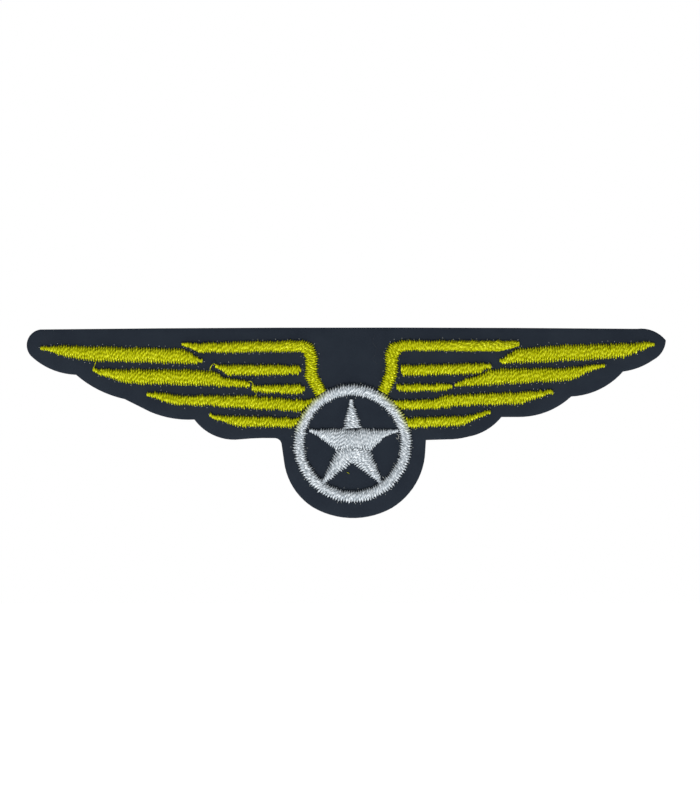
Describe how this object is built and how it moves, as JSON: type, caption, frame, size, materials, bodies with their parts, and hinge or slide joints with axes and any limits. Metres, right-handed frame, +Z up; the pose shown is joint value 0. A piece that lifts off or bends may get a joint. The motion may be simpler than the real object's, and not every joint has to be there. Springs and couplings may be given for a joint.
{
  "type": "pilot wings pin",
  "caption": "Embroidered cloth wings badge with a ringed star at its centre, held on a garment by nail posts and butterfly clutches behind it.",
  "frame": {"origin": "on the badge's flat back face, behind the centre of the ring", "axes": "+Z up as worn, +X to the right for someone facing the badge, +Y out of the back face towards the wearer; the stitched face looks along -Y"},
  "size_m": [0.0999, 0.0114, 0.0298],
  "materials": {
    "navy_cloth": "matt, smooth, very fine weave, hot-cut edge",
    "yellow_thread": "glossy rayon embroidery thread, yellow green",
    "white_thread": "glossy rayon embroidery thread, white",
    "bobbin_thread": "matt spun polyester",
    "stabilizer_fleece": "matt nonwoven",
    "hot_melt_film": "milky, melted",
    "wadding": "matt needled fleece",
    "buckram": "matt, stiffened weave",
    "black_felt": "matt felt",
    "nickel_plate": "nickel plated, drawn",
    "brass_sheet": "bright pressed brass, lightly worn",
    "spring_steel": "plain spring temper strip"
  },
  "bodies": {
    "badge": {"face_cloth": "navy_cloth", "stabilizer": "stabilizer_fleece", "adhesive_film": "hot_melt_film", "interlining": "wadding", "stiffener": "buckram", "backing_felt": "black_felt", "left_leading_bar": "yellow_thread", "left_first_primary": "yellow_thread", "left_second_primary": "yellow_thread", "left_third_primary": "yellow_thread", "left_fourth_primary": "yellow_thread", "left_upper_covert": "yellow_thread", "left_lower_covert": "yellow_thread", "right_leading_bar": "yellow_thread", "right_first_primary": "yellow_thread", "right_second_primary": "yellow_thread", "right_third_primary": "yellow_thread", "right_fourth_primary": "yellow_thread", "right_upper_covert": "yellow_thread", "right_lower_covert": "yellow_thread", "star_ring": "white_thread", "star_top_point": "white_thread", "star_right_arm": "white_thread", "star_right_leg": "white_thread", "star_left_leg": "white_thread", "star_left_arm": "white_thread", "left_wing_reverse_stitching": "bobbin_thread", "right_wing_reverse_stitching": "bobbin_thread", "ring_reverse_stitching": "bobbin_thread", "star_reverse_stitching": "bobbin_thread", "left_nail_post": "nickel_plate", "right_nail_post": "nickel_plate"},
    "left_clutch": {"left_clutch_base": "brass_sheet", "left_clutch_cap": "brass_sheet", "left_clutch_spring": "spring_steel"},
    "left_clutch_upper_wing": {"left_clutch_upper_wing": "brass_sheet"},
    "left_clutch_lower_wing": {"left_clutch_lower_wing": "brass_sheet"},
    "right_clutch": {"right_clutch_base": "brass_sheet", "right_clutch_cap": "brass_sheet", "right_clutch_spring": "spring_steel"},
    "right_clutch_upper_wing": {"right_clutch_upper_wing": "brass_sheet"},
    "right_clutch_lower_wing": {"right_clutch_lower_wing": "brass_sheet"}
  },
  "joints": [
    {"name": "left_clutch_slide", "type": "slide", "parent": "badge", "child": "left_clutch", "axis": [0, 1, 0], "range_m": [0, 0.012]},
    {"name": "left_upper_wing_pinch", "type": "hinge", "parent": "left_clutch", "child": "left_clutch_upper_wing", "pos_m": [-0.022, 0.00495, 0.01325], "axis": [-1, 0, 0], "range_deg": [0, 15], "stiffness_Nm_per_rad": 0.01},
    {"name": "left_lower_wing_pinch", "type": "hinge", "parent": "left_clutch", "child": "left_clutch_lower_wing", "pos_m": [-0.022, 0.00495, 0.00775], "axis": [1, 0, 0], "range_deg": [0, 15], "stiffness_Nm_per_rad": 0.01},
    {"name": "right_clutch_slide", "type": "slide", "parent": "badge", "child": "right_clutch", "axis": [0, 1, 0], "range_m": [0, 0.012]},
    {"name": "right_upper_wing_pinch", "type": "hinge", "parent": "right_clutch", "child": "right_clutch_upper_wing", "pos_m": [0.022, 0.00495, 0.01325], "axis": [-1, 0, 0], "range_deg": [0, 15], "stiffness_Nm_per_rad": 0.01},
    {"name": "right_lower_wing_pinch", "type": "hinge", "parent": "right_clutch", "child": "right_clutch_lower_wing", "pos_m": [0.022, 0.00495, 0.00775], "axis": [1, 0, 0], "range_deg": [0, 15], "stiffness_Nm_per_rad": 0.01}
  ],
  "couplings": [
    {"joint": "left_lower_wing_pinch", "follows": "left_upper_wing_pinch", "ratio": 1},
    {"joint": "right_lower_wing_pinch", "follows": "right_upper_wing_pinch", "ratio": 1}
  ]
}
